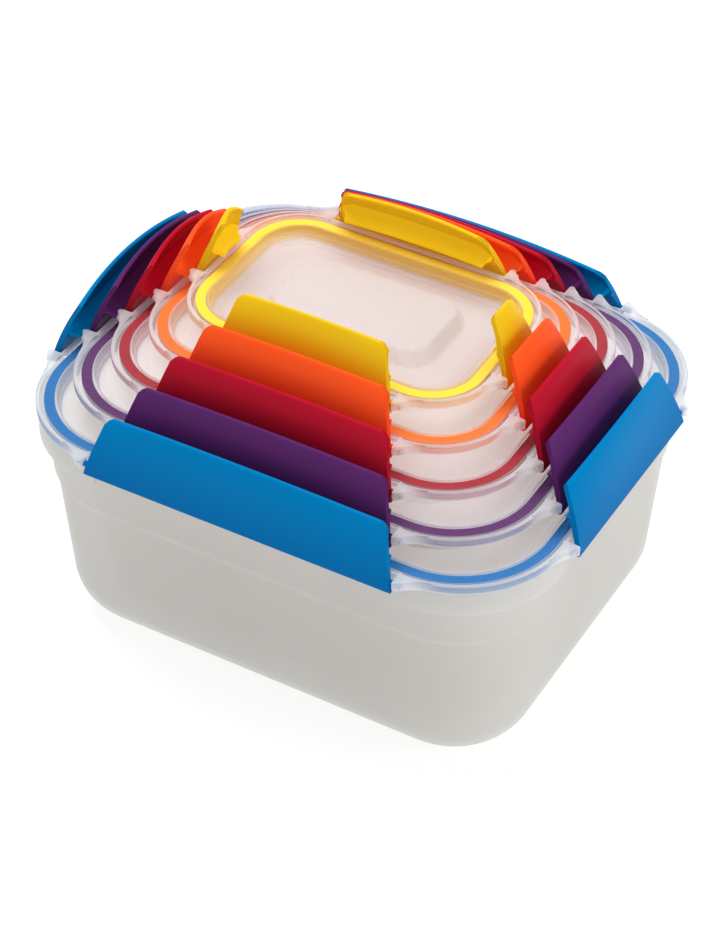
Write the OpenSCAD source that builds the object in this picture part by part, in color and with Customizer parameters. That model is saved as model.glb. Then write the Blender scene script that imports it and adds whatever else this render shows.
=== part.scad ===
// Nest of five clip-lid food boxes: the boxes sit inside one another and the
// lids are stacked on the largest box, each one size smaller than the last.
// Every lid carries a seal ring and four rocker clips that hook under the rim
// of its box. Millimetres; origin at the bottom centre of the largest box,
// +X along its long side, +Z up.

/* [Nest] */
// Half length of the largest seal ring, to its outer edge
seal_half_length = 118; // [100:1:140]
// Half width of the largest seal ring, to its outer edge
seal_half_width = 96.5; // [85:0.5:120]
// Corner radius of the largest seal ring
seal_corner = 44; // [38:0.5:50]
// How much smaller each next lid is at each end
step_length = 13; // [12.9:0.1:14]
// How much smaller each next lid is at each side
step_width = 13.4; // [13.2:0.1:14.5]
// How much tighter each next corner is
step_corner = 5.1; // [4:0.1:6]
// Height from one lid to the next one on top of it
lid_pitch = 10; // [9.8:0.1:14]

/* [Boxes] */
// Height of each box, largest first
box_heights = [109.1, 88, 72, 58, 46]; // [40:1:115]
// Radius between the wall and the base of each box
base_radii = [24, 21, 18, 15, 12]; // [8:0.5:25]
// Wall and base thickness
wall = 1.7; // [1.4:0.1:2]
// Depth of the wide upper wall band, above the shoulder
band_depth = 30; // [24:1:34]
// Inward lean of the wall below the shoulder, per millimetre
wall_draft = 0.077; // [0.04:0.001:0.09]
// Depth of the turned-down rim lip at the corners
rim_lip = 11.7; // [6:0.1:14]

/* [Lids] */
// Width of the seal ring
seal_width = 4.4; // [4:0.1:5]
// Depth of the recess in the lid's top
recess_depth = 6.2; // [5:0.1:7]
// Thickness of the lid's plastic
lid_wall = 1.2; // [1:0.1:1.4]
// Distance from the seal's outer edge to the lid's edge
lid_edge = 3.5; // [3:0.1:4]
// Depth of the lid's skirt
skirt_depth = 4; // [3.6:0.1:4.1]

/* [Clips] */
// Half lengths of the front and back clips' bottom edges, largest first
long_clip = [71.8, 64, 56.7, 48.9, 41]; // [38:0.1:74]
// Half lengths of the end clips' bottom edges, largest first
end_clip = [48.6, 39.8, 31.2, 22.6, 14]; // [13:0.1:50]
// Height of the front and back clips' plates, at their ends
long_clip_height = 26.3; // [24:0.1:27]
// Height of the end clips' plates, at their ends
end_clip_height = 28.4; // [26:0.1:29]
// Lean of an open clip towards the middle of the lid
clip_lean = 22; // [20:0.1:23]
// Thickness of a clip plate
clip_wall = 1.9; // [1.6:0.1:2]
// How much shorter the top edge of a clip is, at each end
clip_taper = 5.8; // [4:0.1:7]
// Rise of the longest front clip's top edge in the middle
long_arch = 1.8; // [1:0.1:2]
// Rise of the longest end clip's top edge in the middle
end_arch = 3.2; // [2:0.1:3.3]
// Radius of a clip's hinge pins
pin_radius = 1.2; // [1:0.05:1.3]
// Radial clearance of a pin in its ear
pin_clearance = 0.05; // [0.03:0.01:0.1]

/* [Hidden] */
$fn = 64;
seal_colors = ["#007abe", "#6e3278", "#b01e33", "#f57d1e", "#fcde50"];
clip_colors = ["#0079b8", "#5b2d66", "#b01e33", "#ee5026", "#e0b424"];
clear = [0.88, 0.87, 0.86, 0.55];
frosted = [0.80, 0.78, 0.76, 0.6];

// Heights. The rim of a box lies rim_drop below the top of its lid.
rim_drop = 4.3;
flange_wall = 1.2;
box_rise = 2.1;
lid_top = box_heights[0] + rim_drop;
function base_z(k) = k * box_rise;
function rim_z(k) = base_z(k) + box_heights[k];
function top_z(k) = lid_top + k * lid_pitch;

// Plan outline of the seal's outer edge for size k: half length, half width, corner radius.
function half_length(k) = seal_half_length - k * step_length;
function half_width(k) = seal_half_width - k * step_width;
function corner(k) = seal_corner - k * step_corner;

// Sweeps a wall profile (x outward, y up) around a rounded rectangle. Profile x = 0 lies on the
// rectangle's outline.
module around(a, b, r) {
    for (turn = [0 : 3]) {
        odd = turn % 2;
        along = odd ? a - r : b - r;
        reach = odd ? b : a;
        side = odd ? a : b;
        rotate([0, 0, 90 * turn]) {
            translate([reach - r, side - r, 0]) rotate_extrude(angle = 90) translate([r, 0]) children();
            translate([reach, along, 0]) rotate([90, 0, 0]) linear_extrude(2 * along) children();
        }
    }
}

// A flat rounded rectangle with its underside at z = 0.
module slab(a, b, r, h) {
    for (sx = [-1, 1], sy = [-1, 1]) translate([sx * (a - r), sy * (b - r), 0]) cylinder(r = r, h = h);
    translate([-a, -(b - r), 0]) cube([2 * a, 2 * (b - r), h]);
    translate([-(a - r), -b, 0]) cube([2 * (a - r), 2 * b, h]);
}

// Places children, drawn for a side that faces +X with x = 0 on the seal's outer edge, on each side.
// side 0 = right, 1 = back, 2 = left, 3 = front.
function side_reach(k, side) = side % 2 == 0 ? half_length(k) : half_width(k);
function side_clip(k, side) = side % 2 == 0 ? end_clip[k] : long_clip[k];
function side_run(k, side) = (side % 2 == 0 ? half_width(k) : half_length(k)) - corner(k);
module on_side(k, side) {
    rotate([0, 0, 90 * side]) translate([side_reach(k, side), 0, 0]) children();
}

// ---------------------------------------------------------------- boxes
// Outer face of the wall at the rim, above the shoulder and below it, from the seal's outer edge.
wall_top = -1;
wall_shoulder = -1.8;
shoulder_step = 1.5;
shoulder_height = 3.5;
rim_inner = -3.6;
rim_bead = 1.7;
lip_outer = 3;
lip_wall = 1.3;
catch_reach = 5.2;

function arc(cx, cy, r, from, to, steps) =
    [for (i = [0 : steps]) let (t = from + (to - from) * i / steps) [cx + r * cos(t), cy + r * sin(t)]];

// Wall profile from the rim to the flat of the base; y = 0 at the base.
module box_profile(h, band, base_r) {
    shoulder = h - band;
    lower = shoulder - shoulder_height;
    out_lower = wall_shoulder - shoulder_step;
    out_base = out_lower - wall_draft * (lower - base_r);
    in_r = base_r - wall;
    polygon(concat(
        [[rim_inner, h], [lip_outer - 0.4, h], [lip_outer, h - 0.4], [lip_outer, h - flange_wall]],
        [[wall_top, h - flange_wall], [wall_shoulder, shoulder], [out_lower, lower]],
        arc(out_base - base_r, base_r, base_r, 0, -90, 8),
        [[out_base - base_r - 1, 0], [out_base - base_r - 1, wall]],
        arc(out_base - base_r, base_r, in_r, -90, 0, 8),
        [[out_lower - wall, lower], [wall_shoulder - wall, shoulder]],
        [[wall_top - wall, h - rim_bead - 3], [rim_inner, h - rim_bead]]
    ));
}

module rim_lip_profile(h, lip) {
    polygon([[lip_outer - lip_wall, h - 1], [lip_outer, h - 1], [lip_outer - 0.2, h - lip],
        [lip_outer - lip_wall + 0.1, h - lip]]);
}

module box(k) {
    a = half_length(k);
    b = half_width(k);
    r = corner(k);
    h = box_heights[k];
    band = band_depth * h / box_heights[0];
    lip = rim_lip * h / box_heights[0];
    flat = wall_shoulder - shoulder_step - wall_draft * (h - band - shoulder_height - base_radii[k])
        - base_radii[k];
    translate([0, 0, base_z(k)]) {
        around(a, b, r) box_profile(h, band, base_radii[k]);
        slab(a + flat, b + flat, r + flat, wall);
        // The lip hangs down at the corners and stops short of the clips.
        difference() {
            around(a, b, r) rim_lip_profile(h, lip);
            for (side = [0 : 3]) on_side(k, side) {
                reach = side_clip(k, side) - 1;
                translate([0, -reach, h - flange_wall - 30]) cube([10, 2 * reach, 30]);
            }
        }
        // Catch ledges that the clips hook under.
        for (side = [0 : 3]) on_side(k, side) {
            reach = side_clip(k, side) - 4;
            translate([lip_outer - 1, -reach, h - flange_wall])
                cube([catch_reach - lip_outer + 1, 2 * reach, flange_wall]);
        }
    }
}

// ---------------------------------------------------------------- lids
// All lid heights are measured from the top of the lid, downwards.
skin = 0.9;
seal_gap = 0.05;
groove_wall = 0.95;
groove_depth = 3.4;
plug_draft = 0.5;
floor_top = -recess_depth;
floor_under = -recess_depth - lid_wall;
floor_inset = 7.9;

// Raised panel in the middle of the recess: how far its top edge lies inside the seal's outer edge.
panel_inset_length = 29.2;
panel_inset_width = 23;
panel_corner_inset = 14;

// Low rib under each lid that stands on the panel of the lid below.
foot_inset = 18;
foot_half = 0.6;
foot_gap = 0.15;

module lid_profile() {
    inner = -seal_width - seal_gap;
    polygon([[-floor_inset - 0.5, floor_top], [inner - lid_wall - 1.2, floor_top],
        [inner - lid_wall - 0.75, floor_top + 0.6], [inner - lid_wall - 0.1, -0.5],
        [inner - lid_wall + 0.4, 0], [lid_edge - 0.6, 0], [lid_edge, -0.6], [lid_edge, -skirt_depth],
        [lid_edge - lid_wall, -skirt_depth], [lid_edge - lid_wall, -lid_wall],
        [groove_wall + seal_gap, -lid_wall], [groove_wall + seal_gap, -groove_depth],
        [seal_gap, -groove_depth], [seal_gap, -skin], [inner, -skin],
        [inner - plug_draft, floor_under + 0.3], [inner - plug_draft - 0.3, floor_under],
        [-floor_inset - 0.5, floor_under]]);
}

module panel_profile() {
    polygon([[-1.5, 0], [-0.4, 0], [0.35, -0.5], [2.9, floor_top + 0.5], [3.5, floor_top],
        [4.5, floor_top], [4.5, floor_under], [2.6, floor_under], [2, floor_under + 0.4],
        [-0.6, -1.6], [-0.9, -lid_wall], [-1.5, -lid_wall]]);
}

module foot_profile() {
    polygon([[-foot_inset - foot_half, floor_under + 0.2], [-foot_inset + foot_half, floor_under + 0.2],
        [-foot_inset + foot_half - 0.1, -lid_pitch + foot_gap],
        [-foot_inset - foot_half + 0.1, -lid_pitch + foot_gap]]);
}

// Hinge pin axis of a clip, outward of the seal's outer edge and below the lid's top.
pin_out = 6.2;
pin_drop = 2.2;
ear_gap = 0.6;
ear_tip = 9;
ear_bottom = -5;
ear_boss = 2.2;
rim_gap = 0.2;
tail_sink = 0.3;
pin_length = 3.4;
bar_inner = 2;
bar_outer = 3.1;

// Lid edge beside a clip: straight, then following the corner.
function edge_at(u, run, r) =
    lid_edge + (u > run ? sqrt(pow(r + lid_edge, 2) - pow(u - run, 2)) - r - lid_edge : 0);

// Shark-fin ear in plan: a flat face towards the clip and a tail that fades into the lid's corner.
module ear_plan(start, run, r) {
    tail = 5 + 0.16 * r;
    steps = 8;
    from = start + 2;
    rise = ear_tip - 0.2 - edge_at(from, run, r);
    outer = [for (i = [0 : steps]) let (f = i / steps, u = from + tail * f)
        [edge_at(u, run, r) + rise * pow(1 - f, 2) - tail_sink * f, u]];
    inner = [for (i = [0 : steps]) let (f = 1 - i / steps, u = start + (tail + 2) * f)
        [edge_at(u, run, r) - 2.4, u]];
    polygon(concat([[ear_tip - 1.1, start], [ear_tip - 0.3, start + 0.4], [ear_tip, start + 1.1]],
        outer, inner));
}

module ear(k, side) {
    start = side_clip(k, side) + ear_gap;
    difference() {
        union() {
            translate([0, 0, ear_bottom]) linear_extrude(-ear_bottom)
                ear_plan(start, side_run(k, side), corner(k));
            translate([pin_out, start, -pin_drop]) rotate([-90, 0, 0]) cylinder(r = ear_boss, h = 4.6);
        }
        translate([pin_out, start - 1, -pin_drop]) rotate([-90, 0, 0])
            cylinder(r = pin_radius + pin_clearance, h = pin_length + 1.4);
        // Clear of the box's rim.
        translate([-20, start - 1, ear_bottom - 1])
            cube([20 + lip_outer + rim_gap, 40, 1 - ear_bottom - skirt_depth]);
    }
}

module lid(k) {
    a = half_length(k);
    b = half_width(k);
    r = corner(k);
    pa = a - panel_inset_length;
    pb = b - panel_inset_width;
    pr = r - panel_corner_inset;
    translate([0, 0, top_z(k)]) {
        difference() {
            around(a, b, r) lid_profile();
            // The rim is cut back where each clip turns.
            for (side = [0 : 3]) on_side(k, side) {
                start = side_clip(k, side) + ear_gap;
                translate([groove_wall + seal_gap, -start, -skirt_depth - 1])
                    cube([10, 2 * start, skirt_depth + 2]);
            }
        }
        for (side = [0 : 3]) on_side(k, side) {
            start = side_clip(k, side) + ear_gap;
            translate([bar_inner, -start - 0.8, -1.9])
                cube([bar_outer - bar_inner, 2 * start + 1.6, 1.6]);
            ear(k, side);
            mirror([0, 1, 0]) ear(k, side);
        }
        difference() {
            translate([0, 0, floor_under]) slab(a - floor_inset, b - floor_inset, r - floor_inset, lid_wall);
            translate([0, 0, floor_under - 1]) slab(pa + 4.3, pb + 4.3, pr + 4.3, lid_wall + 2);
        }
        around(pa, pb, pr) panel_profile();
        translate([0, 0, -lid_wall]) slab(pa - 1.4, pb - 1.4, pr - 1.4, lid_wall);
        around(a, b, r) foot_profile();
    }
}

// ---------------------------------------------------------------- seals
seal_top = -skin - 0.03;
seal_bottom = -rim_drop + 0.15;

module seal_profile() {
    polygon([[-seal_width, seal_top], [0, seal_top], [0, -3.2], [-0.5, seal_bottom],
        [-1.4, seal_bottom], [-1.7, -3.5], [-2.7, -3.5], [-3, seal_bottom], [-3.9, seal_bottom],
        [-seal_width, -3.2]]);
}

module seal(k) {
    translate([0, 0, top_z(k)]) around(half_length(k), half_width(k), corner(k)) seal_profile();
}

// ---------------------------------------------------------------- clips
// A clip is drawn in its plate's own frame: x outward through the plate, z up its face,
// from the outer bottom edge, which lies here from the seal's outer edge and the lid's top.
foot_out = 8.4;
foot_drop = 4.8;
plate_bulge = 1.1;
tip_wall = 0.9;
long_corner = 5;
end_corner = 2.6;
lip_depth = 1.6;
ledge_stop = 4.2;
function clip_height(side) = side % 2 == 0 ? end_clip_height : long_clip_height;
function clip_corner(side) = side % 2 == 0 ? end_corner : long_corner;
// The shorter a clip is, the flatter its top edge.
function clip_arch(half, side) = side % 2 == 0
    ? end_arch * (0.52 + 0.48 * half / end_clip[0])
    : long_arch * half / long_clip[0];

// Section of the plate, with the hook along its bottom edge.
module plate_profile(height) {
    steps = 8;
    outer = [for (i = [0 : steps]) let (t = i / steps)
        [4 * plate_bulge * t * (1 - t), height * t]];
    inner = [for (i = [1 : steps]) let (t = 1 - i / steps)
        [4 * plate_bulge * t * (1 - t) - clip_wall + 0.4 * t, height * t + 0.25]];
    polygon(concat(outer, [[-tip_wall, height]], inner, [[-clip_wall, -0.25], [-3, -0.25], [-2.9, -0.9], [-2, -lip_depth],
        [-0.6, -1.4], [-0.2, -0.6]]));
}

// Section of the ledge that slopes down from the plate towards the seal.
module ledge_profile() {
    polygon([[-0.6, 16.9], [-1.2, 16.7], [-6.2, 13.1], [-6.6, 12.5], [-6.3, 12], [-1.2, 13.6],
        [-0.6, 13.4]]);
}

// Face outline: long square-cut bottom edge, slanted ends, round top corners, arched top edge.
module plate_outline(half, height, arch, corner_r) {
    centre = half - clip_taper - corner_r;
    steps = 6;
    right = [for (i = [0 : steps]) let (t = 90 * i / steps)
        [centre + corner_r * cos(t), height - corner_r + corner_r * sin(t)]];
    crown = [for (i = [1 : 11]) let (u = centre * (1 - i / 6))
        [u, height + arch * (1 - pow(u / centre, 2))]];
    left = [for (i = [0 : steps]) let (t = 90 + 90 * i / steps)
        [-centre + corner_r * cos(t), height - corner_r + corner_r * sin(t)]];
    polygon(concat([[half, -lip_depth - 1], [half, 0]], right, crown, left,
        [[-half, 0], [-half, -lip_depth - 1]]));
}

module clip(k, side) {
    half = side_clip(k, side);
    height = clip_height(side);
    arch = clip_arch(half, side);
    on_side(k, side) translate([0, 0, top_z(k)]) {
        translate([foot_out, 0, -foot_drop]) rotate([0, -clip_lean, 0]) {
            intersection() {
                rotate([90, 0, 0]) translate([0, 0, -half]) linear_extrude(2 * half)
                    plate_profile(height + arch);
                rotate([90, 0, 90]) translate([0, 0, -6]) linear_extrude(10)
                    plate_outline(half, height, arch, clip_corner(side));
            }
            rotate([90, 0, 0]) translate([0, 0, ledge_stop - half]) linear_extrude(2 * (half - ledge_stop))
                ledge_profile();
        }
        for (end = [0, 1]) mirror([0, end, 0])
            translate([pin_out, half - 5, -pin_drop]) rotate([-90, 0, 0])
                cylinder(r = pin_radius, h = 5 + ear_gap + pin_length);
    }
}

// ---------------------------------------------------------------- nodes
module color_box(k) { color(frosted) box(k); }
module color_lid(k) { color(clear) lid(k); }
module color_seal(k) { color(seal_colors[k]) seal(k); }
module color_clip(k, side) { color(clip_colors[k]) clip(k, side); }

module blue_box() { color_box(0); }
module blue_lid() { color_lid(0); }
module blue_seal() { color_seal(0); }
module blue_clip_right() { color_clip(0, 0); }
module blue_clip_back() { color_clip(0, 1); }
module blue_clip_left() { color_clip(0, 2); }
module blue_clip_front() { color_clip(0, 3); }

module purple_box() { color_box(1); }
module purple_lid() { color_lid(1); }
module purple_seal() { color_seal(1); }
module purple_clip_right() { color_clip(1, 0); }
module purple_clip_back() { color_clip(1, 1); }
module purple_clip_left() { color_clip(1, 2); }
module purple_clip_front() { color_clip(1, 3); }

module red_box() { color_box(2); }
module red_lid() { color_lid(2); }
module red_seal() { color_seal(2); }
module red_clip_right() { color_clip(2, 0); }
module red_clip_back() { color_clip(2, 1); }
module red_clip_left() { color_clip(2, 2); }
module red_clip_front() { color_clip(2, 3); }

module orange_box() { color_box(3); }
module orange_lid() { color_lid(3); }
module orange_seal() { color_seal(3); }
module orange_clip_right() { color_clip(3, 0); }
module orange_clip_back() { color_clip(3, 1); }
module orange_clip_left() { color_clip(3, 2); }
module orange_clip_front() { color_clip(3, 3); }

module yellow_box() { color_box(4); }
module yellow_lid() { color_lid(4); }
module yellow_seal() { color_seal(4); }
module yellow_clip_right() { color_clip(4, 0); }
module yellow_clip_back() { color_clip(4, 1); }
module yellow_clip_left() { color_clip(4, 2); }
module yellow_clip_front() { color_clip(4, 3); }

blue_box();
blue_lid();
blue_seal();
blue_clip_right();
blue_clip_back();
blue_clip_left();
blue_clip_front();
purple_box();
purple_lid();
purple_seal();
purple_clip_right();
purple_clip_back();
purple_clip_left();
purple_clip_front();
red_box();
red_lid();
red_seal();
red_clip_right();
red_clip_back();
red_clip_left();
red_clip_front();
orange_box();
orange_lid();
orange_seal();
orange_clip_right();
orange_clip_back();
orange_clip_left();
orange_clip_front();
yellow_box();
yellow_lid();
yellow_seal();
yellow_clip_right();
yellow_clip_back();
yellow_clip_left();
yellow_clip_front();
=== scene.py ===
"""Looks of the nest of five clip-lid food boxes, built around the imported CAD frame.

Lengths are written in millimetres and turned into metres when a mesh is made.
"""
import math

import bmesh
import bpy
from mathutils import Matrix, Vector


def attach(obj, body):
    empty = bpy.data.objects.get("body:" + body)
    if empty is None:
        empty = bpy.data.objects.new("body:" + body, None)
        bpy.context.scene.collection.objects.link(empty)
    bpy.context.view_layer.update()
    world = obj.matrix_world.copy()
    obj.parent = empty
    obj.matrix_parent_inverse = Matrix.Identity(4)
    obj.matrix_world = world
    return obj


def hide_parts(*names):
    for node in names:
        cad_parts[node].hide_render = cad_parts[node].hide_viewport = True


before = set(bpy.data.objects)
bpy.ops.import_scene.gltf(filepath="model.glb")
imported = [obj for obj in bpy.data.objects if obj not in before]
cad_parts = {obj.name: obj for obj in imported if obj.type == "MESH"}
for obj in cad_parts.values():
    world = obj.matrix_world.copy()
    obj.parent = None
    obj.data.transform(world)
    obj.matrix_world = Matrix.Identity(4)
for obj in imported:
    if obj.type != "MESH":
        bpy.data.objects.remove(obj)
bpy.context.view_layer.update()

MM = 0.001
SIZES = ("blue", "purple", "red", "orange", "yellow")
SIDES = ("right", "back", "left", "front")

# ------------------------------------------------------------------ sizes, as in the CAD
HALF_LENGTH = [118 - 13 * k for k in range(5)]
HALF_WIDTH = [96.5 - 13.4 * k for k in range(5)]
CORNER = [44 - 5.1 * k for k in range(5)]
BOX_HEIGHT = [109.1, 88, 72, 58, 46]
BASE_RADIUS = [24, 21, 18, 15, 12]
LONG_CLIP = [71.8, 64, 56.7, 48.9, 41]
END_CLIP = [48.6, 39.8, 31.2, 22.6, 14]
LID_TOP = [113.4 + 10 * k for k in range(5)]
BASE_Z = [2.1 * k for k in range(5)]
EAR_GAP = 0.6
CORNER_STEPS = 20
PIN_OUT, PIN_DROP, PIN_RADIUS, PIN_LENGTH = 6.2, 2.2, 1.2, 3.4


def side_frame(k, side):
    """Matrix from a side's own frame: x out from the seal's edge, y along the side, z up from the lid's top."""
    i = SIDES.index(side)
    reach = HALF_LENGTH[k] if i % 2 == 0 else HALF_WIDTH[k]
    return Matrix.Rotation(math.radians(90 * i), 4, "Z") @ Matrix.Translation((reach, 0, LID_TOP[k]))


def clip_half(k, side):
    return END_CLIP[k] if side in ("right", "left") else LONG_CLIP[k]


def side_run(k, side):
    """Half length of the straight part of a side."""
    return (HALF_WIDTH[k] if side in ("right", "left") else HALF_LENGTH[k]) - CORNER[k]


# ------------------------------------------------------------------ mesh helpers
def fillet(points, steps=4):
    """Rounds the corners of an open polyline. Each point is (x, z) or (x, z, radius)."""
    out = [points[0][:2]]
    for before, here, after in zip(points, points[1:], points[2:]):
        radius = here[2] if len(here) > 2 else 0
        p = Vector(here[:2])
        a, b = Vector(before[:2]) - p, Vector(after[:2]) - p
        angle = a.angle(b)
        if radius <= 0 or angle > math.pi - 0.02:
            out.append(tuple(p))
            continue
        cut = min(radius / math.tan(angle / 2), 0.48 * a.length, 0.48 * b.length)
        radius = cut * math.tan(angle / 2)
        middle = (a.normalized() + b.normalized()).normalized() * (radius / math.sin(angle / 2))
        centre = p + middle
        start, end = p + a.normalized() * cut - centre, p + b.normalized() * cut - centre
        turn = start.angle_signed(end)
        for i in range(steps + 1):
            spun = start.copy()
            spun.rotate(Matrix.Rotation(-turn * i / steps, 2))
            out.append(tuple(centre + spun))
    out.append(points[-1][:2])
    return out


def ring(a, b, r, z):
    """Points around a rounded rectangle."""
    points = []
    for quarter, (sx, sy) in enumerate(((1, 1), (-1, 1), (-1, -1), (1, -1))):
        for i in range(CORNER_STEPS + 1):
            t = math.radians(90 * quarter + 90 * i / CORNER_STEPS)
            points.append((sx * (a - r) + r * math.cos(t), sy * (b - r) + r * math.sin(t), z))
    return points


def new_object(name, bm, materials, smooth_angle=35):
    bmesh.ops.recalc_face_normals(bm, faces=bm.faces)
    for v in bm.verts:
        v.co *= MM
    limit = math.radians(smooth_angle)
    for f in bm.faces:
        f.smooth = True
    for e in bm.edges:
        e.smooth = len(e.link_faces) == 2 and e.calc_face_angle(0) < limit
    mesh = bpy.data.meshes.new(name)
    bm.to_mesh(mesh)
    bm.free()
    for m in materials:
        mesh.materials.append(m)
    obj = bpy.data.objects.new(name, mesh)
    bpy.context.scene.collection.objects.link(obj)
    return obj


def add_loft(bm, rings, closed=False, slots=None):
    """Joins rings of points with quads and caps an open loft. slots gives each band's material."""
    rows = [[bm.verts.new(p) for p in points] for points in rings]
    n = len(rows[0])
    pairs = list(zip(rows, rows[1:])) + ([(rows[-1], rows[0])] if closed else [])
    for i, (low, high) in enumerate(pairs):
        for j in range(n):
            f = bm.faces.new((low[j], low[(j + 1) % n], high[(j + 1) % n], high[j]))
            f.material_index = slots[i] if slots else 0
    if not closed:
        bm.faces.new(rows[0]).material_index = slots[0] if slots else 0
        bm.faces.new(rows[-1]).material_index = slots[-1] if slots else 0
    return rows


def add_box(bm, low, high, matrix=Matrix()):
    made = bmesh.ops.create_cube(bm, size=1)["verts"]
    low, high = Vector(low), Vector(high)
    for v in made:
        v.co = matrix @ (Vector((v.co.x + 0.5, v.co.y + 0.5, v.co.z + 0.5)) * (high - low) + low)


def add_rod(bm, start, end, radius, matrix=Matrix(), segments=24, rounding=0.0):
    """A round rod between two points, with rounded ends if asked."""
    start, end = Vector(start), Vector(end)
    axis = (end - start).normalized()
    u = axis.orthogonal().normalized()
    w = axis.cross(u)
    length = (end - start).length
    stations = [(0, radius), (length, radius)]
    if rounding:
        stations = [(0, radius - rounding), (rounding, radius),
                    (length - rounding, radius), (length, radius - rounding)]
    rings = []
    for along, r in stations:
        rings.append([matrix @ (start + axis * along + (u * math.cos(t) + w * math.sin(t)) * r)
                      for t in (2 * math.pi * i / segments for i in range(segments))])
    add_loft(bm, rings)


def paint(bm, slot):
    """Gives every face one material slot."""
    for f in bm.faces:
        f.material_index = slot


def boolean(obj, tool, operation):
    """Applies an exact boolean and removes the tool."""
    mod = obj.modifiers.new("cut", "BOOLEAN")
    mod.operation = operation
    mod.object = tool
    mod.solver = "EXACT"
    mod.use_self = operation == "UNION"
    dg = bpy.context.evaluated_depsgraph_get()
    mesh = bpy.data.meshes.new_from_object(obj.evaluated_get(dg))
    obj.modifiers.clear()
    old = obj.data
    obj.data = mesh
    bpy.data.meshes.remove(old)
    bpy.data.objects.remove(tool)
    limit = math.radians(35)
    bm = bmesh.new()
    bm.from_mesh(obj.data)
    bmesh.ops.remove_doubles(bm, verts=bm.verts, dist=2e-6)
    bmesh.ops.dissolve_degenerate(bm, edges=bm.edges, dist=2e-6)
    for f in bm.faces:
        f.smooth = True
    for e in bm.edges:
        e.smooth = len(e.link_faces) == 2 and e.calc_face_angle(0) < limit
    bm.to_mesh(obj.data)
    bm.free()


# ------------------------------------------------------------------ materials
def srgb(r, g, b):
    """Linear colour from 0-255 sRGB."""
    def one(c):
        c /= 255
        return c / 12.92 if c <= 0.04045 else ((c + 0.055) / 1.055) ** 2.4
    return (one(r), one(g), one(b), 1)


def noise(tree, scale, detail):
    coords = tree.nodes.new("ShaderNodeTexCoord")
    node = tree.nodes.new("ShaderNodeTexNoise")
    node.inputs["Scale"].default_value = scale
    node.inputs["Detail"].default_value = detail
    tree.links.new(coords.outputs["Object"], node.inputs["Vector"])
    return node.outputs["Fac"]


def between(tree, fac, low, high):
    """Maps a 0-1 value onto a range."""
    node = tree.nodes.new("ShaderNodeMapRange")
    node.inputs["To Min"].default_value = low
    node.inputs["To Max"].default_value = high
    tree.links.new(fac, node.inputs["Value"])
    return node.outputs["Result"]


def height_share(tree, low, high):
    """0 at one height and 1 at another, in millimetres above the table with every part at rest."""
    coords = tree.nodes.new("ShaderNodeTexCoord")
    split = tree.nodes.new("ShaderNodeSeparateXYZ")
    tree.links.new(coords.outputs["Object"], split.inputs["Vector"])
    node = tree.nodes.new("ShaderNodeMapRange")
    node.inputs["From Min"].default_value = low * MM
    node.inputs["From Max"].default_value = high * MM
    tree.links.new(split.outputs["Z"], node.inputs["Value"])
    return node.outputs["Result"]


def blend_colors(tree, fac, low, high):
    node = tree.nodes.new("ShaderNodeMix")
    node.data_type = "RGBA"
    for socket, value in (("A", low), ("B", high)):
        if isinstance(value, tuple):
            node.inputs[socket].default_value = value
        else:
            tree.links.new(value, node.inputs[socket])
    tree.links.new(fac, node.inputs["Factor"])
    return node.outputs["Result"]


def tones(color, vary):
    """A darker and a lighter tone of a colour."""
    return (tuple(c * (1 - vary) for c in color[:3]) + (1,),
            tuple(min(1, c * (1 + vary)) for c in color[:3]) + (1,))


def plastic(name, color, roughness, vary=0.04, grain=0.02, specular=0.3, painted_light=0.0, foot=None):
    """Moulded plastic: a slow colour variation, and a fine grain in its gloss and surface.
    Its emission is painted light that lifts the plate's shade, and
    foot is (colour, low, high): the darker tone that the colour falls to at its lower edge, painted shade."""
    m = bpy.data.materials.new(name)
    m.use_nodes = True
    tree = m.node_tree
    shader = tree.nodes["Principled BSDF"]
    shader.inputs["Specular IOR Level"].default_value = specular
    # emission: painted light that lifts the shade on the surface
    shader.inputs["Emission Strength"].default_value = painted_light
    surface_color = blend_colors(tree, noise(tree, 22, 2), *tones(color, vary))
    # painted shade: the colour falls to a darker tone towards the lower edge
    if foot:
        painted_shade_color, low, high = foot
        surface_color = blend_colors(tree, height_share(tree, low, high), painted_shade_color, surface_color)
    tree.links.new(surface_color, shader.inputs["Base Color"])
    tree.links.new(surface_color, shader.inputs["Emission Color"])
    fine = noise(tree, 900, 3)
    tree.links.new(between(tree, fine, roughness - 0.05, roughness + 0.05), shader.inputs["Roughness"])
    bump = tree.nodes.new("ShaderNodeBump")
    bump.inputs["Strength"].default_value = grain
    bump.inputs["Distance"].default_value = 0.0003
    tree.links.new(fine, bump.inputs["Height"])
    tree.links.new(bump.outputs["Normal"], shader.inputs["Normal"])
    return m


def math_node(tree, operation, *values, clamp=False):
    """A Math node; each value is a socket or a number."""
    node = tree.nodes.new("ShaderNodeMath")
    node.operation = operation
    node.use_clamp = clamp
    for socket, value in zip(node.inputs, values):
        if isinstance(value, (int, float)):
            socket.default_value = value
        else:
            tree.links.new(value, socket)
    return node.outputs["Value"]


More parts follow.
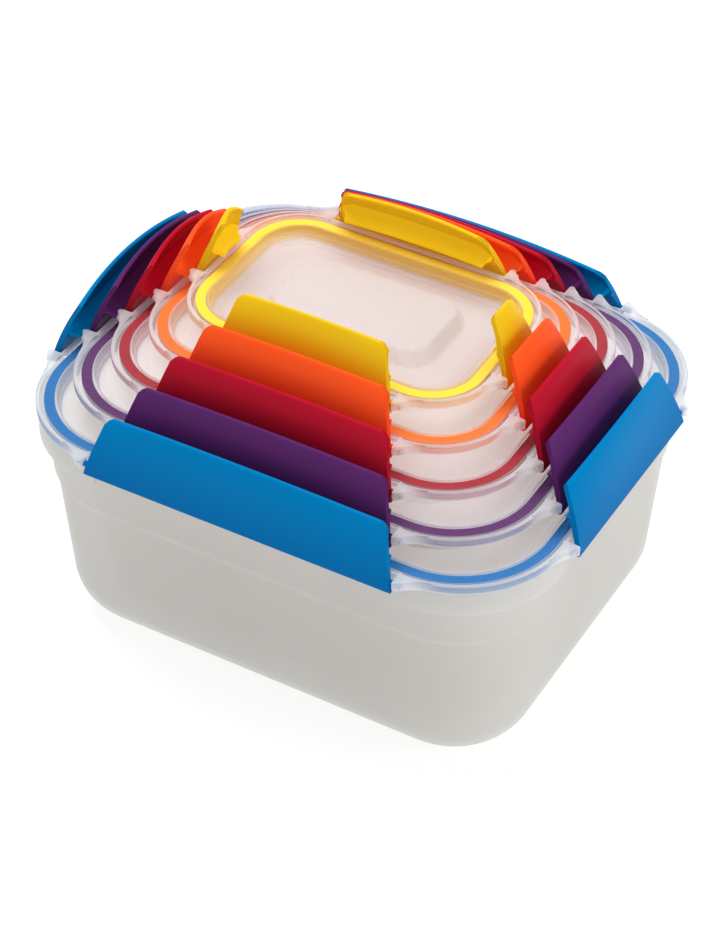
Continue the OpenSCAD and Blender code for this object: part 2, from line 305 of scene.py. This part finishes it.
def reflection_corner_mask(tree, k):
    """Mask of the painted seal reflection on a lid's skirt: 1 around the middle of each of its corners, falling
    to 0 at its ears and its skirt's foot.
    """
    coords = tree.nodes.new("ShaderNodeTexCoord")
    split = tree.nodes.new("ShaderNodeSeparateXYZ")
    tree.links.new(coords.outputs["Object"], split.inputs["Vector"])
    r = CORNER[k]
    past = [math_node(tree, "SUBTRACT", math_node(tree, "ABSOLUTE", split.outputs[axis]), (half - r) * MM)
            for axis, half in (("X", HALF_LENGTH[k]), ("Y", HALF_WIDTH[k]))]
    nearer = math_node(tree, "MINIMUM", *past)
    fade = tree.nodes.new("ShaderNodeMapRange")
    fade.interpolation_type = "SMOOTHSTEP"
    fade.inputs["From Min"].default_value = 0.02 * r * MM
    fade.inputs["From Max"].default_value = 0.42 * r * MM
    tree.links.new(nearer, fade.inputs["Value"])
    above_foot = height_share(tree, LID_TOP[k] - 4.0, LID_TOP[k] - 3.0)
    return math_node(tree, "MULTIPLY", fade.outputs["Result"], above_foot)


def see_through(name, color, roughness, haze, glow, edge=0.3, specular=0.5, vary=0.02, painted_light=0.0, corners=None):
    """Clear or frosted plastic. haze is how much of the light the surface catches face on, edge how much
    more it catches where it is seen along its skin, and glow the share that it scatters to its other side.
    Its emission is painted light that lifts the shade of the stacked lids, and
    corners is (colour, size number): the tone laid on that lid's corners, a painted reflection of its seal's
    colour."""
    m = bpy.data.materials.new(name)
    m.use_nodes = True
    tree = m.node_tree
    shader = tree.nodes["Principled BSDF"]
    output = tree.nodes["Material Output"]
    tint = blend_colors(tree, noise(tree, 16, 2), *tones(color, 0.02))
    # the corners get a painted reflection of the seal's colour
    if corners:
        tint = blend_colors(tree, reflection_corner_mask(tree, corners[1]), tint, corners[0])
    tree.links.new(tint, shader.inputs["Base Color"])
    shader.inputs["Roughness"].default_value = roughness
    shader.inputs["Specular IOR Level"].default_value = specular
    shader.inputs["Emission Color"].default_value = color
    # emission: painted light that lifts the shade inside the stacked lids
    shader.inputs["Emission Strength"].default_value = painted_light
    scatter = tree.nodes.new("ShaderNodeBsdfTranslucent")
    tree.links.new(tint, scatter.inputs["Color"])
    clear_part = tree.nodes.new("ShaderNodeBsdfTransparent")
    body = tree.nodes.new("ShaderNodeMixShader")
    body.inputs["Fac"].default_value = glow
    tree.links.new(shader.outputs["BSDF"], body.inputs[1])
    tree.links.new(scatter.outputs["BSDF"], body.inputs[2])
    facing = tree.nodes.new("ShaderNodeLayerWeight")
    facing.inputs["Blend"].default_value = 0.5
    cover = between(tree, noise(tree, 14, 2), haze - vary, haze + vary)
    skin = math_node(tree, "MULTIPLY_ADD", facing.outputs["Facing"], edge, cover, clamp=True)
    whole = tree.nodes.new("ShaderNodeMixShader")
    tree.links.new(skin, whole.inputs["Fac"])
    tree.links.new(clear_part.outputs["BSDF"], whole.inputs[1])
    tree.links.new(body.outputs["Shader"], whole.inputs[2])
    tree.links.new(whole.outputs["Shader"], output.inputs["Surface"])
    return m


CLIP_COLORS = {"blue": (0, 122, 184), "purple": (88, 40, 100), "red": (178, 22, 44), "orange": (252, 86, 34),
               "yellow": (234, 190, 28)}
# painted shade: the darker tone that each clip's colour falls to at its lower edge
CLIP_PAINTED_SHADE_COLORS = {"blue": (0, 104, 170), "purple": (68, 28, 80), "red": (140, 14, 38),
                    "orange": (222, 34, 32), "yellow": (210, 152, 16)}
SEAL_COLORS = {"blue": (0, 108, 176), "purple": (84, 26, 96), "red": (160, 12, 34), "orange": (244, 112, 12),
               "yellow": (252, 216, 40)}
# painted reflection: the seal's colour as seen in the clear skirt at the corners
SKIRT_PAINTED_REFLECTIONS = {"blue": (120, 160, 200), "purple": (130, 130, 175), "red": (185, 130, 155),
               "orange": (232, 145, 120), "yellow": (242, 190, 130)}
# painted reflection: the seal's colour as seen in the clear inner wall of the lid's channel
WALL_PAINTED_REFLECTIONS = {"blue": (205, 222, 236), "purple": (214, 208, 226), "red": (234, 205, 208),
              "orange": (248, 215, 195), "yellow": (252, 220, 110)}
# painted light: the ledge is a lighter copy of its clip's plastic, as its top catches more light
LEDGE_PAINTED_LIGHT_GAIN = 1.09
THICK_COLOR = srgb(248, 248, 250)
frosted = see_through("frosted_plastic", srgb(238, 237, 234), 0.4, haze=0.62, glow=0.5, edge=0.2)
# emission of each lid: painted light that lifts the shade of the stacked lids, chosen so that they look as
# clear plastic does; not a real property
LID_PAINTED_LIGHT = (0.3, 0.27, 0.17, 0.05, 0.0)
# the lids' plastic tone; the top (yellow) lid's darker tone is painted shade
LID_TONES_AND_SHADE = [(250, 248, 248)] * 4 + [(234, 226, 225)]
clear = [see_through("clear_plastic_" + c, srgb(*tone), 0.25, haze=0.29, glow=0.5, edge=0.45, painted_light=painted_light)
         for c, tone, painted_light in zip(SIZES, LID_TONES_AND_SHADE, LID_PAINTED_LIGHT)]
rim_plastic = see_through("clear_rim", THICK_COLOR, 0.2, haze=0.42, glow=0.5, edge=0.4)
window = see_through("clear_window", srgb(255, 255, 255), 0.15, haze=0.02, glow=0.5, edge=0.05, vary=0.01)

# ------------------------------------------------------------------ boxes
WALL = 1.7


def outline_ring(k, x, z):
    return ring(HALF_LENGTH[k] + x, HALF_WIDTH[k] + x, CORNER[k] + x, z)


def arc(cx, cy, r, start, end, steps):
    return [(cx + r * math.cos(math.radians(start + (end - start) * i / steps)),
             cy + r * math.sin(math.radians(start + (end - start) * i / steps))) for i in range(steps + 1)]


def corner_sweep(bm, k, section, gap):
    """Sweeps a closed section (x, z) around each corner, from gap past one clip's middle to the next's."""
    for quarter in range(4):
        first, second = (SIDES[quarter], SIDES[(quarter + 1) % 4])
        sx, sy = ((1, 1), (-1, 1), (-1, -1), (1, -1))[quarter]
        a, b, r = HALF_LENGTH[k], HALF_WIDTH[k], CORNER[k]
        stations = []
        u0, u1 = clip_half(k, first) + gap, clip_half(k, second) + gap
        for i in range(CORNER_STEPS + 1):
            t = math.radians(90 * quarter + 90 * i / CORNER_STEPS)
            stations.append((Vector((sx * (a - r), sy * (b - r), 0)), Vector((math.cos(t), math.sin(t), 0))))
        rings = []
        t0, t1 = math.radians(90 * quarter), math.radians(90 * (quarter + 1))
        n0, n1 = Vector((math.cos(t0), math.sin(t0), 0)), Vector((math.cos(t1), math.sin(t1), 0))
        along0, along1 = side_run(k, first) - u0, side_run(k, second) - u1
        ends = ((stations[0][0] - n1 * along0, n0), (stations[-1][0] - n0 * along1, n1))
        path = ([ends[0]] if along0 > 0.01 else []) + stations + ([ends[1]] if along1 > 0.01 else [])
        for centre, n in path:
            rings.append([centre + n * (r + x) + Vector((0, 0, z)) for x, z in section])
        add_loft(bm, rings)


def make_box(k):
    h = BOX_HEIGHT[k]
    shoulder = h - 30 * h / BOX_HEIGHT[0]
    lower = shoulder - 3.5
    base_r = BASE_RADIUS[k]
    out_lower = -3.3
    out_base = out_lower - 0.077 * (lower - base_r)
    inside = arc(out_base - base_r, base_r, base_r - WALL, -90, 0, 12)
    inside += fillet([inside.pop(), (out_lower - WALL, lower, 1.2), (-1.8 - WALL, shoulder, 1.2),
                      (-1 - WALL, h - 4.7, 2), (-3.6, h - 1.7, 0.6), (-3.6, h, 0.5), (-2, h)])
    outside = fillet([(-2, h), (3, h, 0.5), (3, h - 1.2, 0.3), (-1, h - 1.2, 0.6), (-1.8, shoulder, 0.9),
                      (out_lower, lower, 0.9), (out_base, base_r)])
    outside = outside[1:-1] + arc(out_base - base_r, base_r, base_r, 0, -90, 14)
    bm = bmesh.new()
    z0 = BASE_Z[k]
    add_loft(bm, [outline_ring(k, x, z + z0) for x, z in inside + outside])
    obj = new_object(SIZES[k] + "_box_shell", bm, [frosted])
    bm = bmesh.new()
    lip = 11.7 * h / BOX_HEIGHT[0]
    section = [(1.7, h - 0.9), (3.0, h - 0.9), (2.95, h - lip + 0.35), (2.65, h - lip), (2.1, h - lip),
               (1.8, h - lip + 0.35)]
    corner_sweep(bm, k, [(x, z + z0) for x, z in section], -1)
    for side in SIDES:
        matrix = side_frame(k, side)
        reach = clip_half(k, side) - 4
        top = z0 + h - LID_TOP[k]
        add_box(bm, (2, -reach, top - 1.2), (5.2, reach, top - 0.05), matrix)
    boolean(obj, new_object("tool", bm, [frosted]), "UNION")
    finish_piece(obj, SIZES[k] + "_box", "frosted_box", SIZES[k] + "_box")


def finish_piece(obj, body, slot, *nodes):
    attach(obj, body)
    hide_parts(*nodes)


# ------------------------------------------------------------------ lids
EAR_TIP = 9


def ear_outline(k, side):
    """Shark-fin ear in plan (x outward, y along the side), as in the CAD but with rounded lines."""
    start = clip_half(k, side) + EAR_GAP
    run, r = side_run(k, side), CORNER[k]

    def edge(u):
        return 3.5 + (math.sqrt((r + 3.5) ** 2 - (u - run) ** 2) - r - 3.5 if u > run else 0)
    tail = 5 + 0.16 * r
    begin = start + 2
    rise = EAR_TIP - 0.2 - edge(begin)
    points = [(1.1, start), (EAR_TIP - 1.3, start), (EAR_TIP - 0.6, start + 0.2),
              (EAR_TIP - 0.15, start + 0.6), (EAR_TIP, start + 1.1)]
    steps = 12
    for i in range(steps + 1):
        f = i / steps
        u = begin + tail * f
        points.append((edge(u) + rise * (1 - f) ** 2 - 0.3 * f, u))
    for i in range(steps // 2 + 1):
        f = 1 - i / (steps // 2)
        u = start + (tail + 2) * f
        if f > 0:
            points.append((edge(u) - 0.5 - 1.5 * (1 - f), u))
    return points


def shrink(points, amount):
    """Moves a closed polygon's points inwards."""
    out = []
    n = len(points)
    for i in range(n):
        p, q, s = Vector(points[i - 1]), Vector(points[i]), Vector(points[(i + 1) % n])
        d = ((q - p).normalized() + (s - q).normalized()).normalized()
        out.append(tuple(q + Vector((-d.y, d.x)) * amount))
    return out


RIM_CLEAR = 1.9


def make_lid(k):
    a, b, r = HALF_LENGTH[k], HALF_WIDTH[k], CORNER[k]
    pa, pb, pr = a - 29.2, b - 23, r - 14
    top = LID_TOP[k]

    def panel(points):
        return [ring(pa + x, pb + x, pr + x, z + top) for x, z in points]
    upper_panel = fillet([(-2.5, 0), (-0.2, 0, 1.6), (2.6, -5.2, 1.0), (3.6, -6.2, 0.9), (4.6, -6.2)])
    upper = fillet([(-11.2, -6.2), (-10.9, -5.85), (-10.5, -5.85), (-10.2, -6.2), (-8.4, -6.2),
                    (-7.2, -6.2, 0.8), (-6.75, -4.1, 0.4), (-6.15, -3.7, 0.3), (-5.75, -0.7, 0.5),
                    (-5.15, 0, 0.35), (-4.75, -0.12, 0.1)], 3)
    window_top = [(-4.3, -0.12), (-0.1, -0.12)]
    outer = fillet([(0.2, -0.05), (0.75, 0.0, 0.2), (RIM_CLEAR, 0), (2.9, 0, 0.4), (3.5, -0.6, 0.5),
                    (3.5, -4.0, 0.3), (2.3, -4.0, 0.3), (2.3, -1.2, 0.3), (1.0, -1.2, 0.2), (1.0, -3.4, 0.2),
                    (0.05, -3.4), (0.05, -0.9)], 3)
    under = fillet([(-4.45, -0.9), (-4.95, -7.0, 0.3), (-5.5, -7.4, 0.3), (-8.4, -7.4)], 3)
    under_panel = fillet([(4.6, -7.4), (3.0, -7.4, 0.8), (1.9, -6.6, 0.8), (-0.7, -1.8, 0.9),
                          (-1.4, -1.2, 0.5), (-2.5, -1.2)])
    rings = panel(upper_panel)
    slots = [0] * len(upper_panel)
    profile = upper + window_top + outer + under
    rings += [outline_ring(k, x, z + top) for x, z in profile]
    for (x0, z0), (x1, z1) in zip(profile, profile[1:] + [(-9, -7.4)]):
        is_window = x0 > -4.8 and x1 < 0.25 and min(z0, z1) > -1.0 and (x0 < 0.1 or z0 < -0.8)
        is_skirt = min(x0, x1) > 3.2 and min(z0, z1) < -0.4
        is_wall = -7.3 < x0 < -5.1 and -7.3 < x1 < -5.1 and min(z0, z1) > -6.5
        is_rim = max(x0, x1) > RIM_CLEAR + 0.1 and not is_skirt
        is_groove = min(x0, x1) > 0.1 and not is_rim and not is_skirt
        slots.append(1 if is_window or is_groove else 2 if is_skirt else 3 if is_wall else 4 if is_rim else 0)
    rings += panel(under_panel)
    slots += [0] * (len(under_panel) - 1)
    bm = bmesh.new()
    add_loft(bm, rings, slots=slots)
    # the skirt's corners carry a painted reflection of the seal's colour
    skirt = see_through("skirt_" + SIZES[k], THICK_COLOR, 0.25, haze=0.45, glow=0.5, edge=0.35,
                        corners=(srgb(*SKIRT_PAINTED_REFLECTIONS[SIZES[k]]), k))
    # the channel's inner wall carries a painted reflection of the seal's colour
    wall = see_through("recess_" + SIZES[k], srgb(*WALL_PAINTED_REFLECTIONS[SIZES[k]]), 0.25, haze=0.55, glow=0.4)
    materials = [clear[k], window, skirt, wall, rim_plastic]
    obj = new_object(SIZES[k] + "_lid_shell", bm, materials)

    bm = bmesh.new()
    for side in SIDES:
        start = clip_half(k, side) + EAR_GAP
        add_box(bm, (1.0, -start, -6), (12, start, 2), side_frame(k, side))
    paint(bm, 2)
    boolean(obj, new_object("tool", bm, materials), "DIFFERENCE")

    bm = bmesh.new()
    for side in SIDES:
        matrix = side_frame(k, side)
        start = clip_half(k, side) + EAR_GAP
        add_box(bm, (2, -start - 0.8, -1.9), (3.1, start + 0.8, -0.3), matrix)
        plan = ear_outline(k, side)
        for mirror in (1, -1):
            rings = []
            for z, inset in ((-4.0, 0.35), (-3.7, 0.05), (-0.3, 0.0), (-0.08, 0.1), (0.12, 0.4)):
                rings.append([matrix @ Vector((x, u * mirror, z)) for x, u in shrink(plan, inset)])
            add_loft(bm, rings)
            # the boss that holds the clip's pin
            add_rod(bm, (PIN_OUT, mirror * (start + 0.02), -PIN_DROP),
                    (PIN_OUT, mirror * (start + 4.0), -PIN_DROP), 1.9, matrix, 28)
    paint(bm, 2)
    boolean(obj, new_object("tool", bm, materials), "UNION")

    bm = bmesh.new()
    for side in SIDES:
        start = clip_half(k, side) + EAR_GAP
        for mirror in (1, -1):
            add_rod(bm, (PIN_OUT, mirror * (start - 1), -PIN_DROP),
                    (PIN_OUT, mirror * (start + PIN_LENGTH + 0.4), -PIN_DROP), PIN_RADIUS + 0.05,
                    side_frame(k, side), 24)
    paint(bm, 2)
    boolean(obj, new_object("tool", bm, materials), "DIFFERENCE")
    finish_piece(obj, SIZES[k] + "_lid", "clear_lid", SIZES[k] + "_lid")

    bm = bmesh.new()
    add_loft(bm, [outline_ring(k, x, z + top) for x, z in
                  [(-4.4, -1.2), (-4.15, -0.93), (-0.25, -0.93), (0, -1.2), (0, -3.2), (-0.5, -4.1),
                   (-1.4, -4.1), (-1.7, -3.5), (-2.7, -3.5), (-3.0, -4.1), (-3.9, -4.1), (-4.4, -3.2)]],
             closed=True)
    silicone = plastic("silicone_" + SIZES[k], srgb(*SEAL_COLORS[SIZES[k]]), 0.5, vary=0.03, specular=0.15)
    seal = new_object(SIZES[k] + "_seal_ring", bm, [silicone])
    finish_piece(seal, SIZES[k] + "_lid", SIZES[k] + "_seal", SIZES[k] + "_seal")


# ------------------------------------------------------------------ clips
LEAN = math.radians(22)
FOOT = (8.4, -4.8)
LONG_ARCH, LONG_BOW = 1.8, 2.8
END_BOW_LEAST, END_BOW_GAIN, END_ARCH_SHARE = 2.2, 2.0, 0.77
TAPER = 5.8
LONG_TOP_CORNER, END_TOP_CORNER = 5.0, 2.6
DISH = 1.2
# the thumb ledge inside a clip, which starts within the plate and stops short of its ends
LEDGE = [(0.1, 18.6), (-0.8, 16.9), (-1.9, 15.6), (-3.5, 14.6), (-5.4, 13.8), (-6.3, 13.3), (-6.6, 12.7),
         (-6.45, 12.2), (-6.0, 12.1), (-4.0, 12.6), (-2.2, 12.9), (-0.9, 12.9)]
STUB = ((-2.4, 11.2), (-0.6, 13.8), 3.2)


def clip_height(side):
    return 28.4 if side in ("right", "left") else 26.3


def clip_bend(half, side):
    """How far the middle of a clip's top edge rises, and how far it bows outwards."""
    if side in ("right", "left"):
        bow = END_BOW_LEAST + END_BOW_GAIN * half / END_CLIP[0]
        return END_ARCH_SHARE * bow, bow
    return LONG_ARCH * half / LONG_CLIP[0], LONG_BOW * half / LONG_CLIP[0]


def smooth(x):
    x = min(1, max(0, x))
    return x * x * (3 - 2 * x)


def ledge_inset(x):
    """How far the ledge stops short of the plate's end: the more the nearer its tip."""
    return 0.3 + 4.2 * smooth((-x - 0.3) / 5.4)


def make_clip(k, side):
    half = clip_half(k, side)
    height = clip_height(side)
    corner = END_TOP_CORNER if side in ("right", "left") else LONG_TOP_CORNER
    centre = half - TAPER - corner
    arch_rise, bow_out = clip_bend(half, side)

    def plate_half(z):
        """Half length of the plate at a height along its face."""
        if z <= 0:
            return half
        if z < height - corner:
            return half - TAPER * z / (height - corner)
        return centre + math.sqrt(max(0, corner ** 2 - (z - height + corner) ** 2))

    matrix = side_frame(k, side) @ Matrix.Translation((FOOT[0], 0, FOOT[1])) @ Matrix.Rotation(-LEAN, 4, "Y")
    # stations along the clip, closer together near the ends
    n = 28
    stations = [math.copysign(1 - (1 - abs(2 * i / n - 1)) ** 1.5, 2 * i / n - 1) for i in range(n + 1)]
    rings = []
    ledge_rings = []
    for s in stations:
        rise = arch_rise * (1 - s * s)
        loop = []
        ledge_loop = []

        def put(x, z, inset=0, onto=loop):
            z_here = z + rise * smooth(z / height)
            bow = bow_out * (1 - s * s) * smooth(z / height) ** 1.2
            onto.append((x + bow, s * (plate_half(z) - inset), z_here))
        for i in range(13):
            t = i / 12
            z = -0.6 + (height - 1.0 + 0.6) * t
            share = max(0, z) / height
            put(4.4 * share * (1 - share), z)
        put(0.02, height - 0.45)
        put(-0.4, height - 0.08)
        put(-0.9, height)
        put(-1.4, height - 0.08)
        put(-1.85, height - 0.5)
        end = smooth((1 - abs(s)) * half / 5)
        dip = DISH * end
        for share, part in ((0.94, 0), (0.915, 0.15), (0.88, 0.75), (0.84, 1), (0.74, 1)):
            put(4.4 * share * (1 - share) - 2.0 + dip * part, share * height)
        put(-1.75, 11.5)
        put(-1.7, 6)
        put(-1.85, 0.6)
        put(-1.95, -0.2)
        put(-2.9, -0.3)
        put(-2.95, -0.75)
        put(-2.1, -1.55)
        put(-1.2, -1.55)
        put(-0.5, -1.3)
        put(-0.1, -0.95)
        rings.append([matrix @ Vector(p) for p in loop])
        for x, z in LEDGE:
            put(x, z, ledge_inset(x), ledge_loop)
        ledge_rings.append([matrix @ Vector(p) for p in ledge_loop])
    bm = bmesh.new()
    add_loft(bm, rings)
    add_loft(bm, ledge_rings, slots=[1] * len(ledge_rings))
    (stub_x0, stub_z0), (stub_x1, stub_z1), stub_inset = STUB
    for mirror in (1, -1):
        u0, u1 = sorted((mirror * (half - 9), mirror * (half - stub_inset)))
        add_box(bm, (stub_x0, u0, stub_z0), (stub_x1, u1, stub_z1), matrix)
    matrix = side_frame(k, side)
    for mirror in (1, -1):
        add_rod(bm, (PIN_OUT, mirror * (half - 4), -PIN_DROP),
                (PIN_OUT, mirror * (half + EAR_GAP + PIN_LENGTH), -PIN_DROP), PIN_RADIUS, matrix, 24, 0.2)
    obj = new_object(f"{SIZES[k]}_clip_{side}_plate", bm, [clip_plastic[k], ledge_painted_light_plastic[k]],
                     smooth_angle=50)
    bevel = obj.modifiers.new("soften", "BEVEL")
    bevel.width = 0.35 * MM
    bevel.segments = 2
    bevel.limit_method = "ANGLE"
    bevel.angle_limit = math.radians(50)
    bevel.harden_normals = False
    finish_piece(obj, f"{SIZES[k]}_clip_{side}", SIZES[k] + "_clip", f"{SIZES[k]}_clip_{side}")

# clip plastic: its emission is painted light that lifts the shade on the plate
clip_plastic = [plastic("clip_" + c, srgb(*CLIP_COLORS[c]), 0.34, vary=0.04, grain=0.03,
                        specular=0.03, painted_light=0.03,
                        # painted shade towards the clip's lower edge
                        foot=(srgb(*CLIP_PAINTED_SHADE_COLORS[c]), LID_TOP[k] - 8, LID_TOP[k] + 16))
                for k, c in enumerate(SIZES)]
# ledge: a lit copy of the clip plastic, with a lighter colour and more emission, painted light
ledge_painted_light_plastic = [plastic("ledge_" + c, srgb(*(min(255, LEDGE_PAINTED_LIGHT_GAIN * v) for v in CLIP_COLORS[c])), 0.34,
                         vary=0.04, grain=0.03, specular=0.03, painted_light=0.06)
                 for c in SIZES]

for k in range(5):
    make_box(k)
    make_lid(k)
    for side in SIDES:
        make_clip(k, side)

# ------------------------------------------------------------------ floor, light and camera
floor_material = bpy.data.materials.new("white_floor")
floor_material.use_nodes = True
floor_shader = floor_material.node_tree.nodes["Principled BSDF"]
floor_shader.inputs["Base Color"].default_value = (0.3, 0.3, 0.3, 1)
floor_shader.inputs["Roughness"].default_value = 0.9
floor_shader.inputs["Emission Color"].default_value = (1, 1, 1, 1)
floor_shader.inputs["Emission Strength"].default_value = 0.78
bm = bmesh.new()
bmesh.ops.create_grid(bm, x_segments=1, y_segments=1, size=4000)
floor = new_object("floor", bm, [floor_material])
floor.location.z = -0.0002

world = bpy.data.worlds.new("studio")
bpy.context.scene.world = world
world.use_nodes = True
world.node_tree.nodes["Background"].inputs["Color"].default_value = (1, 1, 1, 1)
world.node_tree.nodes["Background"].inputs["Strength"].default_value = 0.54


def area_light(name, place, target, size, power):
    data = bpy.data.lights.new(name, "AREA")
    data.shape = "RECTANGLE"
    data.size, data.size_y = size
    data.energy = power
    obj = bpy.data.objects.new(name, data)
    bpy.context.scene.collection.objects.link(obj)
    obj.location = place
    obj.rotation_euler = (Vector(target) - Vector(place)).to_track_quat("-Z", "Y").to_euler()
    obj.visible_glossy = False


area_light("top_softbox", (-0.35, 0.25, 1.3), (0, 0, 0.1), (1.1, 0.9), 14)
area_light("front_softbox", (0.3, -1.5, 0.7), (0, 0, 0.1), (1.0, 0.6), 1)
area_light("side_softbox", (1.5, 0.1, 0.7), (0, 0, 0.1), (0.9, 0.6), 8)

AZIMUTH, ELEVATION, ROLL = (math.radians(v) for v in (29.737, 40.125, 0.239))
back = Vector((math.sin(AZIMUTH) * math.cos(ELEVATION),
               -math.cos(AZIMUTH) * math.cos(ELEVATION),
               math.sin(ELEVATION)))
level = Vector((math.cos(AZIMUTH), math.sin(AZIMUTH), 0))
up = back.cross(level)
right = level * math.cos(ROLL) + up * math.sin(ROLL)
up = up * math.cos(ROLL) - level * math.sin(ROLL)
camera_data = bpy.data.cameras.new("camera")
camera_data.sensor_width = 36
camera_data.lens = 106.27
camera = bpy.data.objects.new("camera", camera_data)
bpy.context.scene.collection.objects.link(camera)
rotation = Matrix((right, up, back)).transposed().to_4x4()
camera.matrix_world = Matrix.Translation((0.4496, -0.7898, 0.8323)) @ rotation
camera_data.clip_start, camera_data.clip_end = 0.05, 20
bpy.context.scene.camera = camera
bpy.context.scene.view_settings.view_transform = "Standard"
bpy.context.scene.cycles.max_bounces = 24
bpy.context.scene.cycles.diffuse_bounces = 16
bpy.context.scene.cycles.transmission_bounces = 16
bpy.context.scene.cycles.transparent_max_bounces = 64
